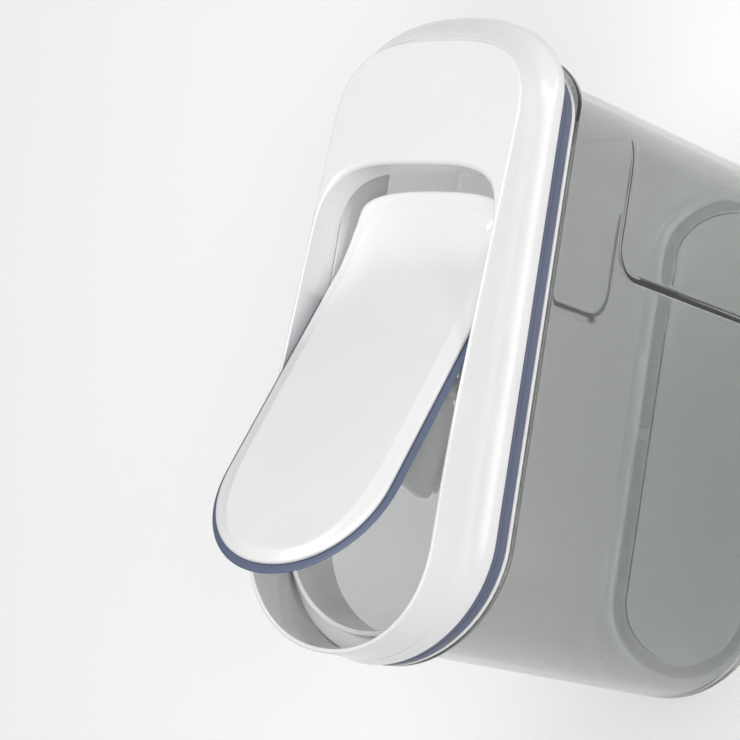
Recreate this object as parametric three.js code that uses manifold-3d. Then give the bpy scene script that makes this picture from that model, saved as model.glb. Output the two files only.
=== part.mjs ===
// Cereal dispenser: a clear container with a press-on pouring lid and a tilting flap.
// Millimetres, +Z up. X is the long axis: -X is the pouring end, +X the handle end.
// The origin is the centre of the base, on the surface that the container stands on.
// The flap is drawn open, in its own frame whose origin is the hinge axis.
import * as THREE from 'three';
import { ParametricGeometry } from 'three/addons/geometries/ParametricGeometry.js';
import { mergeVertices } from 'three/addons/utils/BufferGeometryUtils.js';
import Module from 'manifold-3d';

const wasm = await Module();
wasm.setup();

// ---- driving dimensions ----

const LID_Z = 214; // lower edge of the lid above the base
const GAP = 0.4; // clearance between pieces that touch

// plan outlines: straight sides, and a superelliptic end at the front (-X) and rear (+X)
const LID = {
  half: 52.5,
  front: { start: 77.9, end: 130.2, power: 1.9 },
  rear: { start: 95.9, end: 130.2, power: 2.21 },
};
const DECK = {
  half: 46.05,
  front: { start: 82, end: 128.9, power: 2.1 },
  rear: { start: 80.7, end: 117.2, power: 2.94 },
};
const OPENING = {
  half: 44.46,
  front: { start: 82, end: 127, power: 2.1 },
  rear: { start: 30, end: 65.8, power: 3.6 },
};
const WALL = {
  half: 48.4,
  front: { start: 77.9, end: 122.7, power: 2 },
  rear: { start: 79, end: 118.6, power: 2.1 },
};
const RIM = {
  half: 51.8,
  front: { start: 77.9, end: 129.2, power: 1.9 },
  rear: { start: 96, end: 122.5, power: 2.12 },
};
const SEAL = {
  half: 51.8,
  front: { start: 77.9, end: 129.2, power: 1.9 },
  rear: { start: 88, end: 121.5, power: 2.2 },
};

// container
const WALL_THICKNESS = 2.6;
const WALL_DRAFT = 1.2; // how much narrower the wall is at the base, per side
const BASE_RADIUS = 10;
const FLOOR_Z = 3.6;
const FOOT_WIDTH = 8;
const FOOT_HEIGHT = 0.8;
const RIM_TOP = 203.6;
const RIM_BOTTOM = 200.4;
const GRIP = { x: 40, top: 153, bottom: 28, depth: 3.6, corner: 16, slope: 4 };

// lid
const SHELL_THICKNESS = 2.2;
const DECK_THICKNESS = 3;
const COLLAR_THICKNESS = 1.7;
const COLLAR_BOTTOM = LID_Z + 8;
const GASKET_BOTTOM = 206.4;
const PLUG_BOTTOM = 196;

// hinge and flap, in the flap's frame: x towards the tail, z square to the flap's face
const HINGE = { x: -20, z: LID_Z + 2.6 };
const TILT = THREE.MathUtils.degToRad(27.2); // slope of the open flap
const FLAP_EDGE = {
  half: 40.2,
  front: { start: 62.8, end: 103.1, power: 2.06 },
};
const FLAP_PLATEAU = {
  half: 34,
  front: { start: 51.5, end: 98.1, power: 2.5 },
};
const FLAP_LIP = {
  half: 43.2,
  front: { start: 62.3, end: 106.4, power: 2.02 },
};
const EDGE_Z = 25.1;
const PLATEAU_Z = 27.7;
const LIP_Z = 23.3;
const TAIL = { end: 69.2, half: 36.7, from: 41, to: 63, corner: 9.6 };
const BEND = { from: 36, to: 50, angle: THREE.MathUtils.degToRad(24.3) };
const RING_END = 41; // rear end of the flap's gasket ring
const ARM = {
  y: 21, // outer face
  thickness: 2.6,
  radius: 44.4, // front edge, about the hinge
  low: 17.9, // how far the arm reaches below the hinge
  knuckle: 5,
  heel: 21,
  corner: 3.2,
};
const FOOT = { from: -37.4, to: -12, reach: 2.4, thickness: 1.2 }; // flange along an arm's low edge
const PIN = { radius: 2.2, from: 17.4, to: 29, collar: 4 };

// facets
const END_STEPS = 9; // per quarter of a rounded end
const SIDE_STEPS = 12;

// ---- plan outlines ----

// A station names one place around an outline, the same place on every outline.
function makeStations() {
  const stations = [];
  const quarter = Math.PI / 2;
  for (let i = -END_STEPS; i < END_STEPS; i++) {
    stations.push({ end: 'rear', angle: (quarter * i) / END_STEPS });
  }
  for (let i = 0; i < SIDE_STEPS; i++) {
    stations.push({ side: 1, along: i / SIDE_STEPS });
  }
  for (let i = END_STEPS; i > -END_STEPS; i--) {
    stations.push({ end: 'front', angle: (quarter * i) / END_STEPS });
  }
  for (let i = 0; i < SIDE_STEPS; i++) {
    stations.push({ side: -1, along: 1 - i / SIDE_STEPS });
  }
  return stations;
}

const STATIONS = makeStations();

function endPoint(half, end, sign, angle) {
  const along = Math.abs(Math.cos(angle)) ** (2 / end.power);
  const across = Math.abs(Math.sin(angle)) ** (2 / end.power);
  const reach = Math.abs(angle) > Math.PI / 2 - 1e-9 ? 0 : along;
  const x = sign * (end.start + (end.end - end.start) * reach);
  return [x, half * across * Math.sign(angle)];
}

// The outline's point at a station, with the whole outline grown by some millimetres.
function planPoint(shape, station, grow = 0) {
  const half = shape.half + grow;
  if (station.end) {
    const end = shape[station.end];
    const grown = { start: end.start, end: end.end + grow, power: end.power };
    return endPoint(half, grown, station.end === 'rear' ? 1 : -1, station.angle);
  }
  const from = shape.rear.start;
  const to = -shape.front.start;
  return [from + (to - from) * station.along, half * station.side];
}

function ring(shape, z, grow = 0) {
  return (station) => [...planPoint(shape, station, grow), z];
}

// ---- solids ----

// A skin through a list of rings. An open list is closed at both ends on its centre line.
function skin(rings, closed = false) {
  const flat = (place) => (station) => {
    const [x, , z] = place(station);
    return [x, 0, z];
  };
  const first = rings[0];
  const last = rings[rings.length - 1];
  const layers = closed ? [...rings, first] : [flat(first), ...rings, flat(last)];
  const up = layers.length - 1;
  const around = STATIONS.length;
  const place = (u, v, target) => {
    const station = STATIONS[Math.round(u * around) % around];
    target.set(...layers[Math.round(v * up)](station));
  };
  return new ParametricGeometry(place, around, up);
}

function weld(geometry) {
  const plain = geometry.clone();
  plain.deleteAttribute('normal');
  plain.deleteAttribute('uv');
  const merged = mergeVertices(plain, 1e-3);
  const index = merged.index.array;
  const kept = [];
  for (let i = 0; i < index.length; i += 3) {
    const [a, b, c] = index.slice(i, i + 3);
    if (a !== b && b !== c && c !== a) {
      kept.push(a, b, c);
    }
  }
  merged.setIndex(kept);
  return merged;
}

function solid(geometry) {
  const merged = weld(geometry);
  const mesh = new wasm.Mesh({
    numProp: 3,
    vertProperties: new Float32Array(merged.attributes.position.array),
    triVerts: new Uint32Array(merged.index.array),
  });
  return new wasm.Manifold(mesh);
}

function geometryOf(manifold) {
  const { vertProperties, triVerts } = manifold.getMesh();
  const geometry = new THREE.BufferGeometry();
  geometry.setAttribute('position', new THREE.BufferAttribute(vertProperties, 3));
  geometry.setIndex(new THREE.BufferAttribute(triVerts, 1));
  return geometry;
}

const loft = (rings) => solid(skin(rings));
const band = (rings) => solid(skin(rings, true));

function prism(shape, bottom, top, grow = 0) {
  return loft([ring(shape, bottom, grow), ring(shape, top, grow)]);
}

function box(x0, x1, y0, y1, z0, z1) {
  const geometry = new THREE.BoxGeometry(x1 - x0, y1 - y0, z1 - z0);
  geometry.translate((x0 + x1) / 2, (y0 + y1) / 2, (z0 + z1) / 2);
  return solid(geometry);
}

// A bar along Y with a round section.
function rod(radius, x, z, y0, y1, sides = 24) {
  const geometry = new THREE.CylinderGeometry(radius, radius, y1 - y0, sides);
  geometry.translate(x, (y0 + y1) / 2, z);
  return solid(geometry);
}

// A plate cut from an outline drawn in the XZ plane, between two Y values.
function plate(outline, y0, y1) {
  const geometry = new THREE.ExtrudeGeometry(outline, {
    depth: y1 - y0,
    bevelEnabled: false,
    curveSegments: 12,
  });
  geometry.rotateX(Math.PI / 2);
  geometry.translate(0, y1, 0);
  return solid(geometry);
}

function finish(name, manifold, colour, roughness, opacity = 1) {
  const material = new THREE.MeshStandardMaterial({ color: colour, roughness, metalness: 0 });
  material.opacity = opacity;
  material.transparent = opacity < 1;
  const mesh = new THREE.Mesh(geometryOf(manifold), material);
  mesh.name = name;
  return mesh;
}

const white = (name, manifold) => finish(name, manifold, 0xf1f2f1, 0.22);
const navy = (name, manifold) => finish(name, manifold, 0x4a5470, 0.5);
const clear = (name, manifold) => finish(name, manifold, 0xdfe4e2, 0.06, 0.3);

// ---- container ----

// A rounded block that narrows towards the base.
function wallBlock(inset, floor, top, radius) {
  const grow = (z) => -inset - WALL_DRAFT * (1 - z / RIM_BOTTOM);
  const rings = [];
  const steps = 5;
  for (let i = 0; i <= steps; i++) {
    const turn = (Math.PI / 2) * (i / steps);
    const z = floor + radius * (1 - Math.cos(turn));
    rings.push(ring(WALL, z, grow(z) - radius * (1 - Math.sin(turn))));
  }
  rings.push(ring(WALL, top, grow(top)));
  return loft(rings);
}

// One hand hold, cut into a side from a depth outwards, with sloping edges.
function gripCutter(side, depth, spread) {
  const { x, top, bottom, corner, slope } = GRIP;
  const left = x - spread;
  const high = top + spread;
  const low = bottom - spread;
  const right = LID.rear.end + slope;
  const outline = new THREE.Shape();
  outline.moveTo(right, low);
  outline.lineTo(right, high);
  outline.lineTo(left + corner, high);
  outline.absarc(left + corner, high - corner, corner, Math.PI / 2, Math.PI, false);
  outline.absarc(left + corner, low + corner, corner, Math.PI, 1.5 * Math.PI, false);
  outline.closePath();
  const reach = 14;
  const geometry = new THREE.ExtrudeGeometry(outline, {
    depth: reach,
    curveSegments: 8,
    bevelThickness: slope,
    bevelSize: slope,
    bevelOffset: -slope,
    bevelSegments: 2,
  });
  geometry.rotateX(Math.PI / 2);
  const inner = WALL.half - depth + slope;
  geometry.translate(0, side > 0 ? inner + reach : -inner, 0);
  return solid(geometry);
}

function cutGrips(block, depth, spread) {
  return block.subtract(gripCutter(1, depth, spread)).subtract(gripCutter(-1, depth, spread));
}

function makeContainer() {
  const rim = loft([
    ring(RIM, RIM_BOTTOM, -0.7),
    ring(RIM, RIM_BOTTOM + 0.7),
    ring(RIM, RIM_TOP - 0.7),
    ring(RIM, RIM_TOP, -0.7),
  ]);
  const wall = cutGrips(wallBlock(0, 0, RIM_BOTTOM + 1, BASE_RADIUS), GRIP.depth, 0);
  const core = wallBlock(WALL_THICKNESS, FLOOR_Z, RIM_TOP + 1, BASE_RADIUS - 2);
  const hollow = cutGrips(core, GRIP.depth + WALL_THICKNESS, WALL_THICKNESS);
  const sole = prism(WALL, -1, FOOT_HEIGHT, -BASE_RADIUS - FOOT_WIDTH);
  return clear('container', wall.add(rim).subtract(hollow).subtract(sole));
}

// ---- lid ----

// Height of the lid's deck: straight at the rear, levelling off over the pouring end.
function deckHeight(x) {
  const crown = Math.min(0, x + 20);
  return LID_Z + 26.1 - 0.0856 * x - 0.0007 * crown * crown;
}

// Between the lid's outer edge (0) and the deck's edge (1), at a height above the lid's edge.
function flank(share, rise, inset = 0) {
  return (station) => {
    const [ax, ay] = planPoint(LID, station, -inset);
    const [bx, by] = planPoint(DECK, station, -inset);
    return [ax + (bx - ax) * share, ay + (by - ay) * share, LID_Z + rise];
  };
}

function deckEdge(shape, drop, grow = 0) {
  return (station) => {
    const [x, y] = planPoint(shape, station, grow);
    return [x, y, deckHeight(x) - drop];
  };
}

// The flank's section: a short skirt, a rolled shoulder, a cove, then a steep wall.
const FLANK = [
  [0, 0],
  [0.01, 2.2],
  [0.06, 3.4],
  [0.17, 4.6],
  [0.33, 6.1],
  [0.52, 8],
  [0.7, 10.2],
  [0.83, 12.6],
  [0.9, 14.4],
];

function lidOutside() {
  const rings = FLANK.map(([share, rise]) => flank(share, rise));
  rings.push(deckEdge(DECK, 1.1));
  rings.push(deckEdge(DECK, 0.35, -0.35));
  rings.push(deckEdge(DECK, 0, -1.1));
  return loft(rings);
}

function lidHollow() {
  const cover = SHELL_THICKNESS;
  const rings = [flank(0, -1, cover), flank(0, 2, cover)];
  rings.push(flank(0.33, 4, cover));
  rings.push(flank(0.75, 8.6, cover));
  rings.push(flank(0.95, 12.4, cover));
  rings.push(deckEdge(DECK, DECK_THICKNESS, -cover));
  return loft(rings);
}

// Ribs under the closed part of the deck, between the opening and the handle end.
function bridgeRibs() {
  const rib = { from: OPENING.rear.end + 4, to: 104, thickness: 1.6, low: LID_Z + 6 };
  const across = [-24, 0, 24];
  const bars = across.map((y) => {
    const half = rib.thickness / 2;
    return box(rib.from, rib.to, y - half, y + half, rib.low, LID_Z + 30);
  });
  return bars[0].add(bars[1]).add(bars[2]).intersect(lidHollow());
}

function makeLidShell() {
  const collar = prism(OPENING, COLLAR_BOTTOM, LID_Z + 40, COLLAR_THICKNESS);
  const opening = prism(OPENING, LID_Z - 2, LID_Z + 40);
  const shell = lidOutside().subtract(lidHollow().subtract(collar));
  const ribbed = shell.add(bridgeRibs().subtract(collar));
  return white('lid_shell', ribbed.subtract(opening));
}

// Seal around the lid, held between the shell's edge and the inner ring's lower flange.
function makeLidGasket() {
  const top = LID_Z - GAP;
  const low = GASKET_BOTTOM;
  const inner = -WALL_THICKNESS - 0.2;
  return navy('lid_gasket', band([
    ring(WALL, low, inner),
    ring(SEAL, low, -0.3),
    ring(SEAL, low + 0.6, 0.3),
    ring(SEAL, low + 4.5, 0.3),
    ring(SEAL, low + 4.9),
    ring(SEAL, low + 5.3, 0.3),
    ring(SEAL, top - 0.6, 0.3),
    ring(SEAL, top, -0.3),
    ring(WALL, top, inner),
  ]));
}

// Ring inside the lid: two flanges hold the gasket, and a skirt plugs the container's mouth.
function makeInnerRing() {
  const flangeTop = LID_Z + 1.8;
  const seat = RIM_TOP + GAP;
  const carrier = GASKET_BOTTOM - GAP;
  const top = COLLAR_BOTTOM - GAP;
  const outer = -WALL_THICKNESS - 0.6;
  const inner = outer - 1.9;
  return white('lid_inner_ring', band([
    ring(WALL, PLUG_BOTTOM, inner),
    ring(WALL, PLUG_BOTTOM, outer - 1),
    ring(WALL, PLUG_BOTTOM + 3, outer),
    ring(WALL, seat, outer),
    ring(SEAL, seat, -0.2),
    ring(SEAL, seat + 0.4, 0.2),
    ring(SEAL, carrier - 0.3, 0.2),
    ring(SEAL, carrier, -0.1),
    ring(WALL, carrier, outer),
    ring(WALL, LID_Z, outer),
    ring(LID, LID_Z, -SHELL_THICKNESS - GAP),
    ring(LID, flangeTop, -SHELL_THICKNESS - GAP),
    ring(WALL, flangeTop, outer),
    ring(WALL, top, outer),
    ring(WALL, top, inner),
  ]));
}

// ---- hinge ----

function makeHingeBridge() {
  const bar = { x0: -13, x1: -4, z0: LID_Z - 10, z1: LID_Z - 5 };
  const reach = WALL.half - WALL_THICKNESS - 0.8 - 2.2 - GAP;
  const crossbar = box(bar.x0, bar.x1, -reach, reach, bar.z0, bar.z1);
  const web = box(bar.x0 + 3.4, bar.x1 - 3.4, -reach, reach, bar.z1 - 1, bar.z1 + 4);
  const outline = new THREE.Shape();
  const round = 4.6;
  outline.moveTo(bar.x1, bar.z0);
  outline.lineTo(bar.x1, bar.z1);
  outline.lineTo(HINGE.x + round, HINGE.z);
  outline.absarc(HINGE.x, HINGE.z, round, 0, Math.PI, false);
  outline.lineTo(bar.x0, bar.z0);
  outline.closePath();
  let bridge = crossbar.add(web);
  for (const side of [-1, 1]) {
    const near = side > 0 ? ARM.y + 3 : -ARM.y - 6.6;
    bridge = bridge.add(plate(outline, near, near + 3.6));
  }
  const bore = rod(PIN.radius + GAP, HINGE.x, HINGE.z, -40, 40);
  return white('hinge_bridge', bridge.subtract(bore));
}

// A hinge pin: a shaft through the arm and the lug, a collar between them, a head outside.
function makePin(name, side) {
  const part = (radius, near, far) => {
    const [y0, y1] = side > 0 ? [near, far] : [-far, -near];
    return rod(radius, HINGE.x, HINGE.z, y0, y1);
  };
  const shaft = part(PIN.radius, PIN.from, PIN.to);
  const collar = part(PIN.collar, ARM.y + GAP, ARM.y + 3 - GAP);
  const head = part(PIN.radius + 1.3, PIN.to - 1, PIN.to + 0.6);
  return white(name, shaft.add(collar).add(head));
}

// ---- flap ----

// How far the flap's tail has risen above its face, at a distance behind the hinge.
function tailRise(x) {
  const { from, to, angle } = BEND;
  const radius = (to - from) / Math.sin(angle);
  if (x <= from) {
    return 0;
  }
  if (x <= to) {
    return radius - Math.sqrt(radius * radius - (x - from) ** 2);
  }
  return radius * (1 - Math.cos(angle)) + (x - to) * Math.tan(angle);
}

// The flap's outline: the front end of a shape, then sides that run in to the tail.
function flapPoint(shape, station, grow = 0) {
  const half = shape.half + grow;
  const inset = FLAP_EDGE.half - shape.half - grow;
  if (station.end === 'front') {
    const end = { ...shape.front, end: shape.front.end + grow };
    return endPoint(half, end, -1, station.angle);
  }
  const tailHalf = TAIL.half - inset;
  const tailEnd = TAIL.end - inset;
  if (station.end === 'rear') {
    const rear = { start: tailEnd - TAIL.corner, end: tailEnd, power: 2.6 };
    const [x, y] = endPoint(tailHalf, rear, 1, station.angle);
    return [x, y];
  }
  const from = tailEnd - TAIL.corner;
  const to = -shape.front.start;
  const x = from + (to - from) * station.along ** 1.5;
  const blend = THREE.MathUtils.smoothstep(x, TAIL.from, TAIL.to);
  return [x, (half + (tailHalf - half) * blend) * station.side];
}

function flapRing(shape, z, grow = 0) {
  return (station) => {
    const [x, y] = flapPoint(shape, station, grow);
    return [x, y, z + tailRise(x)];
  };
}

function makeFlapCover() {
  const outside = loft([
    flapRing(FLAP_EDGE, EDGE_Z - 0.9, -0.4),
    flapRing(FLAP_EDGE, EDGE_Z - 0.4),
    flapRing(FLAP_EDGE, EDGE_Z + 0.2),
    flapRing(FLAP_EDGE, EDGE_Z + 0.9, -0.5),
    flapRing(FLAP_EDGE, EDGE_Z + 1.5, -1.9),
    flapRing(FLAP_PLATEAU, PLATEAU_Z - 0.55, 1.3),
    flapRing(FLAP_PLATEAU, PLATEAU_Z - 0.1, 0.3),
    flapRing(FLAP_PLATEAU, PLATEAU_Z, -0.4),
  ]);
  const pocket = loft([
    flapRing(FLAP_EDGE, EDGE_Z - 2, -2.4),
    flapRing(FLAP_EDGE, EDGE_Z - 0.2, -2.4),
    flapRing(FLAP_PLATEAU, PLATEAU_Z - 2.2, -1),
  ]);
  return white('flap_cover', outside.subtract(pocket));
}

// The ring shape that the flap's gasket and tray follow: closed behind the hinge.
function ringShape(half, front) {
  return { half, front, rear: { start: RING_END - 20, end: RING_END, power: 2.2 } };
}

const LIP_RING = ringShape(FLAP_LIP.half, FLAP_LIP.front);
const TRAY_RING = ringShape(36.4, { start: 61, end: 98.7, power: 2 });

function makeFlapGasket() {
  return navy('flap_gasket', band([
    ring(TRAY_RING, LIP_Z - 3.4, GAP),
    ring(LIP_RING, LIP_Z - 3.4, -4.6),
    ring(LIP_RING, LIP_Z - 1.3, -2.2),
    ring(LIP_RING, LIP_Z - 0.4, -0.2),
    ring(LIP_RING, LIP_Z),
    ring(LIP_RING, LIP_Z + 0.25, -0.5),
    ring(LIP_RING, LIP_Z + 0.5, -2.2),
    ring(TRAY_RING, LIP_Z + 0.5, GAP),
  ]));
}

// One arm: a web below the tray, round at its front, with the hinge's knuckle behind.
function armOutline() {
  const { radius, low, knuckle, heel, corner } = ARM;
  const top = LIP_Z - 5;
  const cornerX = -Math.sqrt(radius * radius - low * low);
  const lowEdge = Math.PI + Math.asin(low / radius) - corner / radius;
  const highEdge = Math.PI - Math.asin(top / radius);
  const outline = new THREE.Shape();
  outline.moveTo(heel, top);
  outline.lineTo(knuckle, 0);
  outline.absarc(0, 0, knuckle, 0, (-2 / 3) * Math.PI, true);
  outline.lineTo(-knuckle - 4, -low);
  outline.lineTo(cornerX + corner, -low);
  const [x, z] = [Math.cos(lowEdge), Math.sin(lowEdge)];
  outline.quadraticCurveTo(cornerX, -low, radius * x, radius * z);
  outline.absarc(0, 0, radius, lowEdge, highEdge, true);
  outline.closePath();
  return outline;
}

function makeFlapTray() {
  const floor = LIP_Z - 5.6;
  const rim = prism(TRAY_RING, floor + 0.5, EDGE_Z - GAP - 0.2);
  const flange = prism(LIP_RING, floor, LIP_Z - 3.4 - GAP, -4.6);
  const pocket = prism(TRAY_RING, floor + 2, EDGE_Z + 2, -1.8);
  let tray = rim.add(flange).subtract(pocket);
  for (const side of [-1, 1]) {
    const y0 = side > 0 ? ARM.y - ARM.thickness : -ARM.y;
    const foot0 = side > 0 ? ARM.y - 1 : -ARM.y - FOOT.reach;
    const foot1 = foot0 + FOOT.reach + 1;
    const footTop = FOOT.thickness - ARM.low;
    tray = tray.add(plate(armOutline(), y0, y0 + ARM.thickness));
    tray = tray.add(box(FOOT.from, FOOT.to, foot0, foot1, -ARM.low, footTop));
  }
  const bore = rod(PIN.radius + GAP, 0, 0, -40, 40);
  return white('flap_tray', tray.subtract(bore));
}

// ---- assembly ----

const group = new THREE.Group();
group.add(makeContainer());

const lid = new THREE.Group();
lid.add(makeLidShell(), makeLidGasket(), makeInnerRing(), makeHingeBridge());
lid.add(makePin('hinge_pin_left', 1), makePin('hinge_pin_right', -1));
group.add(lid);

const flap = new THREE.Group();
flap.position.set(HINGE.x, 0, HINGE.z);
flap.rotation.y = TILT;
flap.add(makeFlapCover(), makeFlapGasket(), makeFlapTray());
group.add(flap);

export default group;
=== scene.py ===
"""Looks of the cereal dispenser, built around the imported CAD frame.

Shapes are drawn in millimetres in the part's frame and turned into metres as meshes.
X is the long axis (-X is the pouring end), Z is up, and the base stands on Z = 0.
The flap is drawn in its own frame, whose origin is the hinge axis.
"""

import math

import bmesh
import bpy
import numpy as np
from mathutils import Matrix, Vector


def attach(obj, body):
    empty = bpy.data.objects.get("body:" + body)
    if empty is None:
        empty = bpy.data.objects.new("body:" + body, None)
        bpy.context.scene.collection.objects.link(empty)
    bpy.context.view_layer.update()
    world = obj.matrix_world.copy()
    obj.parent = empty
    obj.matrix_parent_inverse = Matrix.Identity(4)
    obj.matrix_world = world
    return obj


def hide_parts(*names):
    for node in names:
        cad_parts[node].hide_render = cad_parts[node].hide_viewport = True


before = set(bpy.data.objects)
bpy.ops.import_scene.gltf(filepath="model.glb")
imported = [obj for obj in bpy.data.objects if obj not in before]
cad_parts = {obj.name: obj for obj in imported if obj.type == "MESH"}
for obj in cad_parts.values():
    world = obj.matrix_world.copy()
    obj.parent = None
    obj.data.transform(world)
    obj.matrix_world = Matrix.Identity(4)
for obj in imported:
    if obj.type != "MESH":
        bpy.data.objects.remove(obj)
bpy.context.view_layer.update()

MM = 0.001
SHARP_ANGLE = math.radians(42)  # edges turning more than this stay sharp

# ---- driving dimensions, in millimetres ----

LID_Z = 214.0  # lower edge of the lid
GAP = 0.4  # clearance between neighbouring parts

# plan outlines: half width, then (start, end, power) of the front and rear ends
LID = dict(half=52.5, front=(77.9, 130.2, 1.9), rear=(95.9, 130.2, 2.21))
DECK = dict(half=46.05, front=(82, 128.9, 2.1), rear=(80.7, 117.2, 2.94))
OPENING = dict(half=44.46, front=(82, 127, 2.1), rear=(30, 65.8, 3.6))
WALL = dict(half=48.4, front=(77.9, 122.7, 2), rear=(79, 118.6, 2.1))
RIM = dict(half=51.8, front=(77.9, 129.2, 1.9), rear=(96, 122.5, 2.12))
SEAL = dict(half=51.8, front=(77.9, 129.2, 1.9), rear=(88, 121.5, 2.2))

WALL_THICKNESS = 2.6
WALL_DRAFT = 1.2  # how far the wall runs in from the rim to the base
BASE_RADIUS = 10.0
FLOOR_Z = 3.6
FOOT_WIDTH = 8.0
FOOT_HEIGHT = 0.8
RIM_TOP = 203.6
RIM_BOTTOM = 200.4
GRIP_FRONT = 40.0
GRIP_TOP = 153.0
GRIP_BOTTOM = 28.0
GRIP_DEPTH = 3.6
GRIP_CORNER = 16.0
GRIP_STEP = 4.6  # width of the sloping step around a hand hold
GRIP_CLEAR = 1.2  # how far past the wall the step runs, so that it ends outside it
GRIP_BLEND = 0.9  # rounding where a hand hold meets the wall
RIM_ROUND = 0.9

SHELL_THICKNESS = 2.2
DECK_THICKNESS = 3.0
COLLAR_THICKNESS = 1.7
COLLAR_BOTTOM = LID_Z + 8
COLLAR_TAPER = 0.9  # how much narrower the collar is at its lower edge
DECK_ROUND = 0.85  # radius of the deck's outer edge
LIP_ROUND = 0.6  # radius of the opening's edge where the deck is narrow
LIP_ROUND_MORE = 1.5  # what the radius gains where the deck is broad
RIB_PLACES = (-24, 0, 24)
RIB_HALF = 0.8
GASKET_BOTTOM = 206.4
PLUG_BOTTOM = 196.0

HINGE_X = -20.0
HINGE_Z = LID_Z + 2.6
TILT = math.radians(27.2)
EDGE_Z = 25.1
PLATEAU_Z = 27.7
LIP_Z = 23.3
FLAP_EDGE = dict(half=40.2, front=(62.8, 103.1, 2.06))
FLAP_PLATEAU = dict(half=34, front=(51.5, 98.1, 2.5))
TAIL_END = 69.2
TAIL_HALF = 36.7
TAIL_FROM = 41.0
TAIL_TO = 63.0
TAIL_CORNER = 9.6
TAIL_POWER = 2.6
BEND_FROM = 36.0
BEND_TO = 50.0
BEND_ANGLE = math.radians(24.3)
RING_END = 41.0
LIP_RING = dict(half=43.2, front=(62.3, 106.4, 2.02), rear=(RING_END - 20, RING_END, 2.2))
TRAY_RING = dict(half=36.4, front=(61, 98.7, 2), rear=(RING_END - 20, RING_END, 2.2))
ARM_Y = 21.0
ARM_THICKNESS = 2.6
ARM_RADIUS = 44.4
ARM_LOW = 17.9
ARM_CORNER = 3.2
KNUCKLE = 5.0
HEEL = 21.0
FOOT_FROM = -37.4
FOOT_TO = -12.0
FOOT_REACH = 2.4
FOOT_THICKNESS = 1.2
PIN_RADIUS = 2.2
BORE_SEGMENTS = 48
BORE_LENGTH = 100.0

# ---- stations: the places around an outline ----


def smoothstep(value, low, high):
    t = np.clip((value - low) / (high - low), 0, 1)
    return t * t * (3 - 2 * t)


class Stations:
    """Places around an outline, from the rear end's -Y side round to the -Y straight side."""

    def __init__(self, end_steps, shares):
        angle = np.arange(-end_steps, end_steps) * (math.pi / 2 / end_steps)
        self.rear = angle
        self.front = -angle
        self.shares = np.asarray(shares, float)  # 0 at the rear, below 1 at the front

    def plan(self, shape, grow=0.0):
        half = shape["half"] + grow
        rear = end_points(half, shape["rear"], grow, 1, self.rear)
        front = end_points(half, shape["front"], grow, -1, self.front)
        x0, x1 = shape["rear"][0], -shape["front"][0]
        back = np.concatenate([[1], self.shares[:0:-1]])
        left = np.column_stack([x0 + (x1 - x0) * self.shares, np.full(len(back), half)])
        right = np.column_stack([x0 + (x1 - x0) * back, np.full(len(back), -half)])
        return np.vstack([rear, left, front, right])

    def ring(self, shape, z, grow=0.0):
        plan = self.plan(shape, grow)
        return np.column_stack([plan, np.broadcast_to(z, len(plan))])


def end_points(half, end, grow, sign, angle):
    start, tip, power = end
    along = np.abs(np.cos(angle)) ** (2 / power)
    along[np.abs(angle) > math.pi / 2 - 1e-9] = 0
    across = np.abs(np.sin(angle)) ** (2 / power) * np.sign(angle)
    return np.column_stack([sign * (start + (tip + grow - start) * along), half * across])


# ---- meshes ----


def through(rings, steps):
    """A smooth run of rings through the given ones, with steps rings in each gap."""
    points = np.stack(rings)
    gaps = np.linalg.norm(np.diff(points, axis=0), axis=2).mean(axis=1)
    t = np.concatenate([[0], np.cumsum(gaps)])
    slope = np.empty_like(points)
    slope[1:-1] = (points[2:] - points[:-2]) / (t[2:] - t[:-2])[:, None, None]
    slope[0] = (points[1] - points[0]) / gaps[0]
    slope[-1] = (points[-1] - points[-2]) / gaps[-1]
    out = []
    for i, gap in enumerate(gaps):
        for k in range(steps):
            s = k / steps
            out.append(
                (2 * s**3 - 3 * s**2 + 1) * points[i]
                + (s**3 - 2 * s**2 + s) * gap * slope[i]
                + (3 * s**2 - 2 * s**3) * points[i + 1]
                + (s**3 - s**2) * gap * slope[i + 1]
            )
    out.append(points[-1])
    return out


def cap(ring, steps=4):
    """Rings that close a ring on its centre line."""
    share = np.linspace(1, 0, steps + 1)[1:]
    return [ring * np.array([1, s, 1]) for s in share]


def loft(name, rings, closed=False):
    """A closed mesh through rings. An open list must start and end on a centre line."""
    count = len(rings[0])
    vertices = np.vstack(rings) * MM
    rows = len(rings)
    faces = []
    for r in range(rows if closed else rows - 1):
        a = r * count
        b = (r + 1) % rows * count
        for i in range(count):
            j = (i + 1) % count
            faces.append((a + i, a + j, b + j, b + i))
    return mesh_object(name, vertices, faces)


def shade(mesh):
    mesh.shade_smooth()
    mesh.set_sharp_from_angle(angle=SHARP_ANGLE)


def mesh_object(name, vertices, faces):
    mesh = bpy.data.meshes.new(name)
    mesh.from_pydata([tuple(v) for v in vertices], [], faces)
    edit = bmesh.new()
    edit.from_mesh(mesh)
    bmesh.ops.remove_doubles(edit, verts=edit.verts, dist=2e-6)
    bmesh.ops.dissolve_degenerate(edit, edges=edit.edges, dist=1e-6)
    bmesh.ops.recalc_face_normals(edit, faces=edit.faces)
    edit.to_mesh(mesh)
    edit.free()
    shade(mesh)
    piece = bpy.data.objects.new(name, mesh)
    bpy.context.scene.collection.objects.link(piece)
    return piece


def bevel(piece, width, segments=3):
    """Rounds a piece's sharp edges, by a width in millimetres."""
    edge = piece.modifiers.new("Edges", "BEVEL")
    edge.width = width * MM
    edge.segments = segments
    edge.limit_method = "ANGLE"
    edge.angle_limit = math.radians(34)
    edge.harden_normals = True
    return piece


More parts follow.
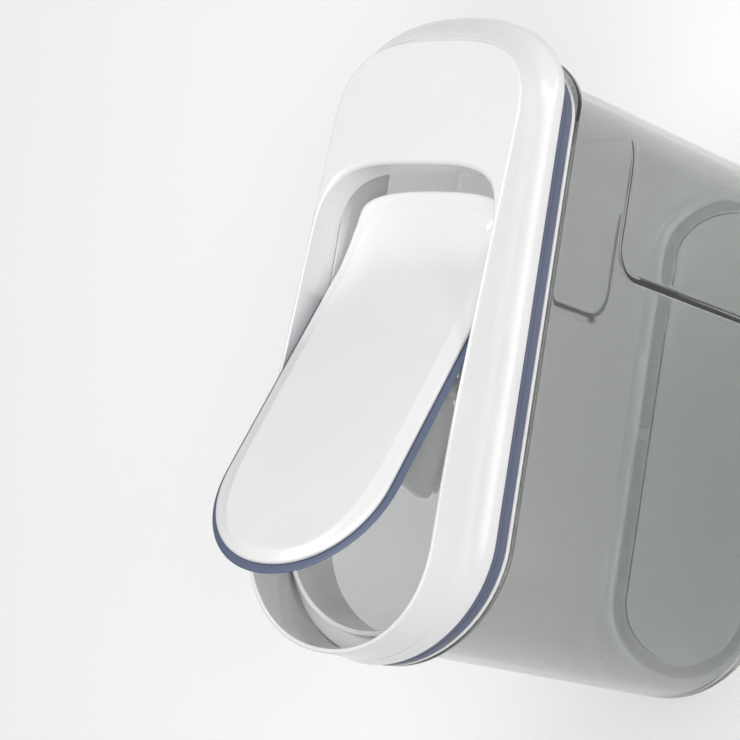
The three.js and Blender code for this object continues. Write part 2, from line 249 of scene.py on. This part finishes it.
def plate(name, outline, y0, y1, place):
    """A flat plate with an outline in the XZ plane, between two Y values."""
    outline = np.asarray(outline, float)
    count = len(outline)
    sides = []
    for y in (y0, y1):
        sides.append(np.column_stack([outline[:, 0], np.full(count, y), outline[:, 1]]))
    faces = [tuple(range(count)), tuple(range(2 * count - 1, count - 1, -1))]
    for i in range(count):
        j = (i + 1) % count
        faces.append((i, j, count + j, count + i))
    return mesh_object(name, place(np.vstack(sides)) * MM, faces)


def join(name, pieces):
    """One object from several whose modifiers are the same."""
    with bpy.context.temp_override(
        active_object=pieces[0], selected_editable_objects=pieces
    ):
        bpy.ops.object.join()
    pieces[0].name = name
    return pieces[0]


def arc(x, z, radius, start, stop, steps):
    angle = np.radians(np.linspace(start, stop, steps + 1))
    return [(x + radius * math.cos(a), z + radius * math.sin(a)) for a in angle]


# ---- container ----

grip_x = np.concatenate(
    [
        np.linspace(79, 60, 12),
        np.linspace(59, 45.5, 16),
        np.linspace(45, 37, 24),
        np.linspace(35, -72, 22),
    ]
)
wall_stations = Stations(30, (79 - grip_x) / (79 + 77.9))

wall_z = np.concatenate(
    [
        np.linspace(BASE_RADIUS, 24, 5),
        np.linspace(25.5, 31.5, 19),
        np.linspace(32.3, 46, 16),
        np.linspace(52, 130, 12),
        np.linspace(135, 148.3, 16),
        np.linspace(149, 155.6, 20),
        np.linspace(160, RIM_BOTTOM, 8),
    ]
)


def soft_min(a, b, radius):
    h = np.clip(0.5 + 0.5 * (b - a) / radius, 0, 1)
    return b + (a - b) * h - radius * h * (1 - h)


def grip_limit(x, z, spread, depth):
    """How far out the wall may reach, inside and outside the hand hold's rounded outline."""
    left = GRIP_FRONT - spread + GRIP_CORNER
    high = GRIP_TOP + spread - GRIP_CORNER
    low = GRIP_BOTTOM - spread + GRIP_CORNER
    dx = np.maximum(left - x, 0)
    dz = np.maximum(np.maximum(z - high, low - z), 0)
    inward = GRIP_CORNER - np.hypot(dx, dz)
    rise = 1 - smoothstep(inward, 0, GRIP_STEP)
    return WALL["half"] - depth + (GRIP_DEPTH + GRIP_CLEAR) * rise


def grip(ring, spread, depth):
    out = ring.copy()
    limit = grip_limit(ring[:, 0], ring[:, 2], spread, depth)
    out[:, 1] = np.sign(ring[:, 1]) * soft_min(np.abs(ring[:, 1]), limit, GRIP_BLEND)
    on_axis = np.abs(ring[:, 1]) < 30
    out[on_axis, 1] = ring[on_axis, 1]
    return out


def wall_ring(z, inset, radius_share=1.0, radius=BASE_RADIUS):
    grow = -inset - WALL_DRAFT * (1 - z / RIM_BOTTOM) - radius * (1 - radius_share)
    ring = wall_stations.ring(WALL, z, grow)
    thickness = WALL_THICKNESS if inset else 0
    return grip(ring, thickness, GRIP_DEPTH + thickness)


def base_rings(inset, floor, radius):
    turns = np.linspace(0, math.pi / 2, 11)[:-1]
    rings = []
    for turn in turns:
        z = floor + radius * (1 - math.cos(turn))
        rings.append(wall_ring(z, inset, math.sin(turn), radius))
    return rings


def edge_round(shape, z, grow, radius, start, stop, steps=4):
    """Rings round an edge's circular section, by angles above the outward direction."""
    rings = []
    for angle in np.radians(np.linspace(start, stop, steps + 1)):
        out = grow + radius * math.cos(angle)
        rings.append(wall_stations.ring(shape, z + radius * math.sin(angle), out))
    return rings


def make_container():
    sole = -BASE_RADIUS - FOOT_WIDTH
    ring = wall_stations.ring
    rings = cap(ring(WALL, FOOT_HEIGHT, sole - 1.2))[::-1]
    rings += [ring(WALL, FOOT_HEIGHT, sole - 1.2), ring(WALL, FOOT_HEIGHT, sole - 0.6)]
    rings += [ring(WALL, 0.3, sole), ring(WALL, 0.05, sole + 0.5), ring(WALL, 0, sole + 1)]
    rings += base_rings(0, 0, BASE_RADIUS)
    rings += [wall_ring(z, 0) for z in wall_z[:-1]]
    rings += [wall_ring(RIM_BOTTOM - 0.5, 0), ring(WALL, RIM_BOTTOM, 0.3)]
    rings += edge_round(RIM, RIM_BOTTOM + RIM_ROUND, -RIM_ROUND, RIM_ROUND, -90, 0)
    rings += edge_round(RIM, RIM_TOP - RIM_ROUND, -RIM_ROUND, RIM_ROUND, 0, 90)
    mouth = -WALL_THICKNESS
    rings += [ring(WALL, RIM_TOP, mouth + 0.5), ring(WALL, RIM_TOP - 0.15, mouth + 0.15)]
    rings += [ring(WALL, RIM_TOP - 0.6, mouth), ring(WALL, RIM_BOTTOM + 1, mouth)]
    inner_radius = BASE_RADIUS - 2
    inside = [z for z in wall_z if z > FLOOR_Z + inner_radius]
    rings += [wall_ring(z, WALL_THICKNESS) for z in inside[::-1]]
    rings += base_rings(WALL_THICKNESS, FLOOR_Z, inner_radius)[::-1]
    rings += cap(rings[-1])
    return loft("container_clear_wall", rings)


# ---- lid ----

lid_stations = Stations(30, np.arange(28) / 28)

# the flank's section: share of the way in to the deck's edge, and rise above the lid's edge
FLANK = [
    (0.01, 2.2),
    (0.06, 3.4),
    (0.17, 4.6),
    (0.33, 6.1),
    (0.52, 8),
    (0.7, 10.2),
    (0.83, 12.6),
    (0.9, 14.4),
]


def deck_height(x):
    crown = np.minimum(0, x + 20)
    return LID_Z + 26.1 - 0.0856 * x - 0.0007 * crown * crown


def flank(share, rise, inset=0.0):
    outer = lid_stations.plan(LID, -inset)
    inner = lid_stations.plan(DECK, -inset)
    plan = outer + (inner - outer) * share
    return np.column_stack([plan, np.full(len(plan), LID_Z + rise)])


def deck_ring(shape, drop, grow=0.0):
    plan = lid_stations.plan(shape)
    step = lid_stations.plan(shape, 1) - plan
    plan = plan + step * np.reshape(grow, (-1, 1))
    return np.column_stack([plan, deck_height(plan[:, 0]) - drop])


def deck_round(shape, grow, radius, start, stop, steps):
    """Rings round an edge of the deck, by angles above the outward direction."""
    rings = []
    for angle in np.radians(np.linspace(start, stop, steps + 1)):
        drop = radius - radius * math.sin(angle)
        rings.append(deck_ring(shape, drop, grow + radius * math.cos(angle)))
    return rings


def nearest(points, outline):
    """For each point, the nearest place on an outline, its outward normal and the distance."""
    start = outline
    along = np.roll(outline, -1, axis=0) - start
    length = (along * along).sum(axis=1)
    share = ((points[:, None] - start) * along).sum(axis=2) / length
    foot = start + along * np.clip(share, 0, 1)[..., None]
    index = np.linalg.norm(points[:, None] - foot, axis=2).argmin(axis=1)
    foot = foot[np.arange(len(points)), index]
    normal = np.column_stack([along[:, 1], -along[:, 0]])[index]
    normal /= np.linalg.norm(normal, axis=1)[:, None]
    return foot, normal, ((points - foot) * normal).sum(axis=1)


def outside_collar(ring, margin):
    """Moves a ring's points that are nearer the opening's collar than a margin."""
    foot, normal, reach = nearest(ring[:, :2], lid_stations.plan(OPENING, COLLAR_THICKNESS))
    short = reach < margin
    moved = ring.copy()
    moved[short, :2] = (foot + normal * margin)[short]
    return moved, reach


def make_lid():
    edge = 0.5
    rings = [flank(0, 0, edge * 1.1), flank(0, 0.12, edge * 0.4), flank(0, edge, 0.08)]
    controls = [flank(0, 0.9)] + [flank(share, rise) for share, rise in FLANK]
    rings += through(controls, 4)
    side = deck_ring(DECK, DECK_ROUND + 0.2)
    base = controls[-1]
    rings += [base + (side - base) * share for share in (0.15, 0.4, 0.7, 0.93)]
    rings += deck_round(DECK, -DECK_ROUND, DECK_ROUND, 0, 90, 7)
    _, _, depth = nearest(lid_stations.plan(OPENING), lid_stations.plan(DECK))
    lip = LIP_ROUND + LIP_ROUND_MORE * smoothstep(-depth, 1.8, 9)
    outer = deck_ring(DECK, 0, -DECK_ROUND)
    inner = deck_ring(OPENING, 0, lip)
    rings += [outer + (inner - outer) * share for share in (0.02, 0.2, 0.5, 0.8, 0.98)]
    for angle in np.radians(np.linspace(90, 0, 8)):
        drop = lip - lip * math.sin(angle)
        rings.append(deck_ring(OPENING, drop, lip - lip * math.cos(angle)))
    ring = lid_stations.ring
    rings += [
        deck_ring(OPENING, lip + 0.6),
        ring(OPENING, COLLAR_BOTTOM + 0.5, -COLLAR_TAPER),
        ring(OPENING, COLLAR_BOTTOM, 0.4 - COLLAR_TAPER),
        ring(OPENING, COLLAR_BOTTOM, COLLAR_THICKNESS - 0.4),
        ring(OPENING, COLLAR_BOTTOM + 0.4, COLLAR_THICKNESS),
    ]
    roof, reach = outside_collar(deck_ring(DECK, DECK_THICKNESS, -SHELL_THICKNESS), 0.5)
    closed_at = COLLAR_BOTTOM + 1.6
    roof[:, 2] = closed_at + (roof[:, 2] - closed_at) * smoothstep(reach, 0.5, 7)
    rings += [ring(OPENING, roof[:, 2], COLLAR_THICKNESS), roof]
    for share, rise in ((0.95, 12.4), (0.75, 8.6), (0.33, 4)):
        moved, _ = outside_collar(flank(share, rise, SHELL_THICKNESS), 0.6)
        moved[:, 2] = np.minimum(moved[:, 2], roof[:, 2] - 0.05)
        rings.append(moved)
    rings += [flank(0, 2, SHELL_THICKNESS), flank(0, 0, SHELL_THICKNESS)]
    return loft("lid_deck", rings, closed=True)


def make_ribs():
    """Ribs under the closed part of the deck."""
    start = OPENING["rear"][1] + COLLAR_THICKNESS + 0.3
    ribs = []
    for y in RIB_PLACES:
        stop = 104 if y else 108
        top = [deck_height(np.float64(x)) - DECK_THICKNESS + 0.2 for x in (start, stop)]
        outline = [(start, COLLAR_BOTTOM), (stop - 6, COLLAR_BOTTOM), (stop, COLLAR_BOTTOM + 3)]
        outline += [(stop, top[1]), (start, top[0])]
        ribs.append(plate("rib", outline, y - RIB_HALF, y + RIB_HALF, lambda p: p))
    return bevel(join("lid_deck_ribs", ribs), 0.25, 2)


def make_lid_seal():
    top = LID_Z - GAP
    low = GASKET_BOTTOM
    inner = -WALL_THICKNESS - 0.2
    ring = lid_stations.ring
    outer = [(low, -0.3), (low + 0.1, 0), (low + 0.4, 0.22), (low + 0.9, 0.3)]
    outer += [(low + 4.3, 0.3), (low + 4.6, 0.22), (low + 4.75, 0.02), (low + 4.9, -0.1)]
    outer += [(low + 5.05, 0.02), (low + 5.2, 0.22), (low + 5.5, 0.3)]
    outer += [(top - 0.6, 0.3), (top - 0.2, 0.15), (top, -0.2)]
    rings = [ring(WALL, low, inner)]
    rings += [ring(SEAL, z, grow) for z, grow in outer]
    rings += [ring(WALL, top, inner)]
    return loft("lid_seal_band", rings, closed=True)


def make_inner_ring():
    seat = RIM_TOP + GAP
    carrier = GASKET_BOTTOM - GAP
    outer = -WALL_THICKNESS - 0.6
    inner = outer - 1.9
    ring = lid_stations.ring
    flange = -SHELL_THICKNESS - GAP
    rings = [
        ring(WALL, PLUG_BOTTOM, inner),
        ring(WALL, PLUG_BOTTOM, outer - 1),
        ring(WALL, PLUG_BOTTOM + 3, outer),
        ring(WALL, seat, outer),
        ring(SEAL, seat, -0.2),
        ring(SEAL, seat + 0.4, 0.2),
        ring(SEAL, carrier - 0.4, 0.2),
        ring(SEAL, carrier, -0.1),
        ring(WALL, carrier, outer),
        ring(WALL, LID_Z, outer),
        ring(LID, LID_Z, flange),
        ring(LID, LID_Z + 1.8, flange),
        ring(WALL, LID_Z + 1.8, outer),
        ring(WALL, COLLAR_BOTTOM - GAP, outer),
        ring(WALL, COLLAR_BOTTOM - GAP, inner),
    ]
    return bevel(loft("lid_carrier_ring", rings, closed=True), 0.3)


# ---- flap ----

flap_stations = Stations(26, (np.arange(56) / 56) ** 1.5)
ring_stations = Stations(26, np.arange(24) / 24)


def in_flap(points):
    """From the flap's frame to the part's frame."""
    x, y, z = np.asarray(points, float).T
    c, s = math.cos(TILT), math.sin(TILT)
    return np.column_stack([HINGE_X + x * c + z * s, y, HINGE_Z - x * s + z * c])


def tail_rise(x):
    radius = (BEND_TO - BEND_FROM) / math.sin(BEND_ANGLE)
    along = np.clip(x - BEND_FROM, 0, BEND_TO - BEND_FROM)
    bend = radius - np.sqrt(radius * radius - along * along)
    return bend + np.maximum(x - BEND_TO, 0) * math.tan(BEND_ANGLE)


def flap_ring(shape, z, grow=0.0):
    """A ring of the flap's outline: a rounded front, and sides that run in to the tail."""
    half = shape["half"] + grow
    inset = FLAP_EDGE["half"] - half
    tail_half = TAIL_HALF - inset
    tail_end = TAIL_END - inset
    tail = (tail_end - TAIL_CORNER, tail_end, TAIL_POWER)
    start, tip, power = shape["front"]
    plan = flap_stations.plan(dict(half=half, front=(start, tip + grow, power), rear=tail))
    ends = len(flap_stations.rear)
    sides = len(flap_stations.shares)
    plan[:ends] = end_points(tail_half, tail, 0, 1, flap_stations.rear)
    left = slice(ends, ends + sides)
    right = slice(2 * ends + sides, None)
    for side, sign in ((left, 1), (right, -1)):
        blend = smoothstep(plan[side, 0], TAIL_FROM, TAIL_TO)
        plan[side, 1] = sign * (half + (tail_half - half) * blend)
    return np.column_stack([plan, z + tail_rise(plan[:, 0])])


def make_flap_top():
    controls = [
        (FLAP_EDGE, EDGE_Z - 0.9, -0.4),
        (FLAP_EDGE, EDGE_Z - 0.65, -0.1),
        (FLAP_EDGE, EDGE_Z - 0.4, 0),
        (FLAP_EDGE, EDGE_Z + 0.2, 0),
        (FLAP_EDGE, EDGE_Z + 0.6, -0.2),
        (FLAP_EDGE, EDGE_Z + 0.95, -0.6),
        (FLAP_EDGE, EDGE_Z + 1.3, -1.4),
        (FLAP_EDGE, EDGE_Z + 1.5, -2.2),
        (FLAP_PLATEAU, PLATEAU_Z - 0.55, 1.3),
        (FLAP_PLATEAU, PLATEAU_Z - 0.25, 0.6),
        (FLAP_PLATEAU, PLATEAU_Z - 0.07, 0),
        (FLAP_PLATEAU, PLATEAU_Z, -0.6),
    ]
    outside = [flap_ring(*control) for control in controls]
    outside.append(flap_ring(FLAP_PLATEAU, PLATEAU_Z, -1.2))
    inside = [
        flap_ring(FLAP_EDGE, EDGE_Z - 0.9, -2.4),
        flap_ring(FLAP_EDGE, EDGE_Z - 0.2, -2.4),
        flap_ring(FLAP_PLATEAU, PLATEAU_Z - 2.2, -1),
    ]
    rings = cap(outside[-1], 6)[::-1] + outside[::-1] + inside
    rings += cap(inside[-1], 6)
    return loft("flap_top", [in_flap(r) for r in rings])


def make_flap_seal():
    ring = ring_stations.ring
    controls = [
        ring(TRAY_RING, LIP_Z - 3.4, GAP),
        ring(LIP_RING, LIP_Z - 3.4, -5.9),
        ring(LIP_RING, LIP_Z - 2.7, -4.2),
        ring(LIP_RING, LIP_Z - 1.3, -2.2),
        ring(LIP_RING, LIP_Z - 0.7, -0.9),
        ring(LIP_RING, LIP_Z - 0.35, -0.2),
        ring(LIP_RING, LIP_Z - 0.1, 0),
        ring(LIP_RING, LIP_Z + 0.1, -0.1),
        ring(LIP_RING, LIP_Z + 0.27, -0.5),
        ring(LIP_RING, LIP_Z + 0.5, -1.2),
        ring(LIP_RING, LIP_Z + 0.68, -2.6),
        ring(TRAY_RING, LIP_Z + 0.72, GAP),
    ]
    return loft("flap_seal_lip", [in_flap(r) for r in controls], closed=True)


TRAY_INSET = -6.3  # the tray's flange, inside the seal's lip


def make_flap_tray():
    floor = LIP_Z - 5.4
    flange_top = LIP_Z - 3.4 - GAP
    rim = EDGE_Z - GAP - 0.2
    ring = ring_stations.ring
    rings = cap(ring(LIP_RING, floor, TRAY_INSET), 6)[::-1]
    rings += [
        ring(LIP_RING, floor, TRAY_INSET),
        ring(LIP_RING, flange_top, TRAY_INSET),
        ring(TRAY_RING, flange_top),
        ring(TRAY_RING, rim),
        ring(TRAY_RING, rim, -1.8),
        ring(TRAY_RING, floor + 2, -1.8),
    ]
    rings += cap(ring(TRAY_RING, floor + 2, -1.8), 6)
    return bevel(loft("flap_tray_shell", [in_flap(r) for r in rings]), 0.3)


def arm_outline():
    top = LIP_Z - 5.6 + 0.3
    corner_x = -math.sqrt(ARM_RADIUS**2 - ARM_LOW**2)
    corner_turn = math.asin(ARM_LOW / ARM_RADIUS) - ARM_CORNER / ARM_RADIUS
    low_angle = 180 + math.degrees(corner_turn)
    high_angle = 180 - math.degrees(math.asin(top / ARM_RADIUS))
    outline = [(HEEL, top)]
    outline += arc(0, 0, KNUCKLE, 0, -120, 14)
    outline += [(-KNUCKLE - 4, -ARM_LOW), (corner_x + ARM_CORNER, -ARM_LOW)]
    front = arc(0, 0, ARM_RADIUS, low_angle, high_angle, 26)
    start, middle, stop = np.array([outline[-1], (corner_x, -ARM_LOW), front[0]])
    for t in np.linspace(0, 1, 8)[1:-1]:
        outline.append(tuple((1 - t) ** 2 * start + 2 * t * (1 - t) * middle + t * t * stop))
    return outline + front


def bore(piece, x, z, radius):
    """Cuts a round hole along Y through a piece, in the part's frame."""
    edit = bmesh.new()
    turn = Matrix.Rotation(math.pi / 2, 4, "X")
    place = Matrix.Translation((x * MM, 0, z * MM)) @ turn
    size = radius * MM
    bmesh.ops.create_cone(
        edit,
        cap_ends=True,
        segments=BORE_SEGMENTS,
        radius1=size,
        radius2=size,
        depth=BORE_LENGTH * MM,
        matrix=place,
    )
    mesh = bpy.data.meshes.new("cutter")
    edit.to_mesh(mesh)
    edit.free()
    cutter = bpy.data.objects.new("cutter", mesh)
    bpy.context.scene.collection.objects.link(cutter)
    cut = piece.modifiers.new("Bore", "BOOLEAN")
    cut.operation = "DIFFERENCE"
    cut.object = cutter
    with bpy.context.temp_override(object=piece, active_object=piece):
        bpy.ops.object.modifier_apply(modifier="Bore")
    bpy.data.objects.remove(cutter)
    shade(piece.data)
    return piece


def make_arms():
    low, high = -ARM_LOW, FOOT_THICKNESS - ARM_LOW
    foot = [(FOOT_FROM, low), (FOOT_TO, low), (FOOT_TO, high), (FOOT_FROM, high)]
    arms = []
    for side in (-1, 1):
        y0 = ARM_Y - ARM_THICKNESS if side > 0 else -ARM_Y
        arms.append(plate("arm", arm_outline(), y0, y0 + ARM_THICKNESS, in_flap))
        foot0 = ARM_Y - 1 if side > 0 else -ARM_Y - FOOT_REACH
        arms.append(plate("foot", foot, foot0, foot0 + FOOT_REACH + 1, in_flap))
    arms = bore(join("flap_arms", arms), HINGE_X, HINGE_Z, PIN_RADIUS + GAP)
    return bevel(arms, 0.45)


# ---- materials ----

NOISE_LOW, NOISE_HIGH = 0.3, 0.7  # the range of noise values that is spread over a range


def node(tree, kind, **inputs):
    made = tree.nodes.new(kind)
    for name, value in inputs.items():
        made.inputs[name].default_value = value
    return made


def new_material(name):
    material = bpy.data.materials.new(name)
    material.use_nodes = True
    tree = material.node_tree
    tree.nodes.clear()
    output = tree.nodes.new("ShaderNodeOutputMaterial")
    surface = tree.nodes.new("ShaderNodeBsdfPrincipled")
    tree.links.new(surface.outputs["BSDF"], output.inputs["Surface"])
    place = tree.nodes.new("ShaderNodeTexCoord")
    return material, tree, surface, output, place.outputs["Object"]


def noise(tree, place, scale, detail=3.0, roughness=0.5):
    made = node(tree, "ShaderNodeTexNoise", Scale=scale, Detail=detail, Roughness=roughness)
    tree.links.new(place, made.inputs["Vector"])
    return made.outputs["Fac"]


def spread(tree, value, low, high):
    made = tree.nodes.new("ShaderNodeMapRange")
    made.inputs["From Min"].default_value = NOISE_LOW
    made.inputs["From Max"].default_value = NOISE_HIGH
    made.inputs["To Min"].default_value = low
    made.inputs["To Max"].default_value = high
    tree.links.new(value, made.inputs["Value"])
    return made.outputs["Result"]


def tint(tree, value, low, high):
    ramp = tree.nodes.new("ShaderNodeValToRGB")
    ramp.color_ramp.elements[0].position = NOISE_LOW
    ramp.color_ramp.elements[0].color = (*low, 1)
    ramp.color_ramp.elements[1].position = NOISE_HIGH
    ramp.color_ramp.elements[1].color = (*high, 1)
    tree.links.new(value, ramp.inputs["Fac"])
    return ramp.outputs["Color"]


def relief(tree, surface, height, distance, strength):
    bump = node(tree, "ShaderNodeBump", Strength=strength, Distance=distance)
    tree.links.new(height, bump.inputs["Height"])
    tree.links.new(bump.outputs["Normal"], surface.inputs["Normal"])


def moulded(name, low, high, rough, coat, grain, depth):
    """An opaque moulded material: slow colour drift, worn gloss and a fine surface grain."""
    material, tree, surface, _, place = new_material(name)
    tree.links.new(tint(tree, noise(tree, place, 22), low, high), surface.inputs["Base Color"])
    gloss = noise(tree, place, 60, 4)
    tree.links.new(spread(tree, gloss, *rough), surface.inputs["Roughness"])
    relief(tree, surface, noise(tree, place, grain, 2), depth, 0.25)
    surface.inputs["IOR"].default_value = 1.5
    surface.inputs["Coat Weight"].default_value = coat
    surface.inputs["Coat Roughness"].default_value = 0.12
    return material


def clear_plastic(name):
    """Clear plastic, whose shadows let light through."""
    material, tree, surface, output, place = new_material(name)
    colour = tint(tree, noise(tree, place, 9), (0.58, 0.592, 0.585), (0.61, 0.62, 0.613))
    tree.links.new(colour, surface.inputs["Base Color"])
    gloss = noise(tree, place, 40, 4)
    tree.links.new(spread(tree, gloss, 0.01, 0.035), surface.inputs["Roughness"])
    relief(tree, surface, noise(tree, place, 18, 1), 0.0006, 0.03)
    surface.inputs["IOR"].default_value = 1.49
    surface.inputs["Transmission Weight"].default_value = 1.0
    path = tree.nodes.new("ShaderNodeLightPath")
    through_light = node(tree, "ShaderNodeBsdfTransparent", Color=(0.86, 0.87, 0.865, 1))
    mix = tree.nodes.new("ShaderNodeMixShader")
    tree.links.new(path.outputs["Is Shadow Ray"], mix.inputs["Fac"])
    tree.links.new(surface.outputs["BSDF"], mix.inputs[1])
    tree.links.new(through_light.outputs["BSDF"], mix.inputs[2])
    tree.links.new(mix.outputs["Shader"], output.inputs["Surface"])
    return material


white = moulded(
    "white_plastic",
    low=(0.80, 0.805, 0.80),
    high=(0.83, 0.833, 0.828),
    rough=(0.19, 0.26),
    coat=0.55,
    grain=2600,
    depth=0.00003,
)
navy = moulded(
    "seal_rubber",
    low=(0.095, 0.115, 0.185),
    high=(0.115, 0.138, 0.215),
    rough=(0.42, 0.55),
    coat=0.0,
    grain=3800,
    depth=0.00006,
)
clear = clear_plastic("clear_plastic")


def dress(piece, body, material, slot, *replaced):
    piece.data.materials.clear()
    piece.data.materials.append(material)
    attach(piece, body)
    if replaced:
        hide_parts(*replaced)
    return piece


dress(make_container(), "container", clear, "clear_plastic", "container")
dress(make_lid(), "lid", white, "white_plastic", "lid_shell")
dress(make_ribs(), "lid", white, "white_plastic", "lid_shell")
dress(make_lid_seal(), "lid", navy, "seal_rubber", "lid_gasket")
dress(make_inner_ring(), "lid", white, "white_plastic", "lid_inner_ring")
dress(make_flap_top(), "flap", white, "white_plastic", "flap_cover")
dress(make_flap_seal(), "flap", navy, "seal_rubber", "flap_gasket")
dress(make_flap_tray(), "flap", white, "white_plastic", "flap_tray")
dress(make_arms(), "flap", white, "white_plastic", "flap_tray")

for name in ("hinge_bridge", "hinge_pin_left", "hinge_pin_right"):
    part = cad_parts[name]
    weld = part.modifiers.new("Weld", "WELD")
    weld.merge_threshold = 2e-6
    bevel(part, 0.3, 2)
    for slot in part.material_slots:
        slot.material = white

# ---- floor, light and camera ----

floor_mesh = bpy.data.meshes.new("floor")
FLOOR_REACH = 6.0  # metres
corners = [(x * FLOOR_REACH, y * FLOOR_REACH, 0) for x, y in ((-1, -1), (1, -1), (1, 1), (-1, 1))]
floor_mesh.from_pydata(corners, [], [(0, 1, 2, 3)])
floor = bpy.data.objects.new("floor", floor_mesh)
bpy.context.scene.collection.objects.link(floor)
floor_material, tree, surface, _, place = new_material("floor_paper")
tree.links.new(
    tint(tree, noise(tree, place, 3), (0.97, 0.97, 0.97), (0.98, 0.98, 0.98)),
    surface.inputs["Base Color"],
)
surface.inputs["Roughness"].default_value = 0.9
surface.inputs["Specular IOR Level"].default_value = 0.1
floor_mesh.materials.append(floor_material)


def area_light(name, place, aim, size, power):
    data = bpy.data.lights.new(name, "AREA")
    data.shape = "RECTANGLE"
    data.size, data.size_y = size
    data.energy = power
    lamp = bpy.data.objects.new(name, data)
    direction = Vector(aim) - Vector(place)
    facing = direction.to_track_quat("-Z", "Y").to_matrix().to_4x4()
    lamp.matrix_world = Matrix.Translation(place) @ facing
    bpy.context.scene.collection.objects.link(lamp)


centre = (0, 0, 0.15)
area_light("key", (0.4, 0.2, 2.5), centre, (2.0, 1.6), 39)
area_light("high", (0.2, -0.95, 2.3), centre, (2.4, 0.3), 7)
area_light("fill", (-0.75, -1.25, 1.88), (-0.04, -0.02, 0.22), (2.0, 0.55), 18)
area_light("side", (0.35, -1.9, 0.88), centre, (2.6, 0.36), 10)

world = bpy.data.worlds.new("studio")
world.use_nodes = True
background = world.node_tree.nodes["Background"]
background.inputs["Color"].default_value = (1, 1, 1, 1)
background.inputs["Strength"].default_value = 0.1
bpy.context.scene.world = world
bpy.context.scene.view_settings.view_transform = "Standard"

camera_data = bpy.data.cameras.new("camera")
camera_data.lens = 145.21
camera_data.sensor_width = 36
camera_data.clip_end = 50
camera = bpy.data.objects.new("camera", camera_data)
right = Vector((0.15583, -0.77243, -0.61568))
down = Vector((-0.98082, -0.04713, -0.18911))
forward = Vector((0.11706, 0.63335, -0.76496))
turn = Matrix((right, -down, -forward)).transposed().to_4x4()
camera.matrix_world = Matrix.Translation((-0.1536, -0.73207, 1.12564)) @ turn
bpy.context.scene.collection.objects.link(camera)
bpy.context.scene.camera = camera
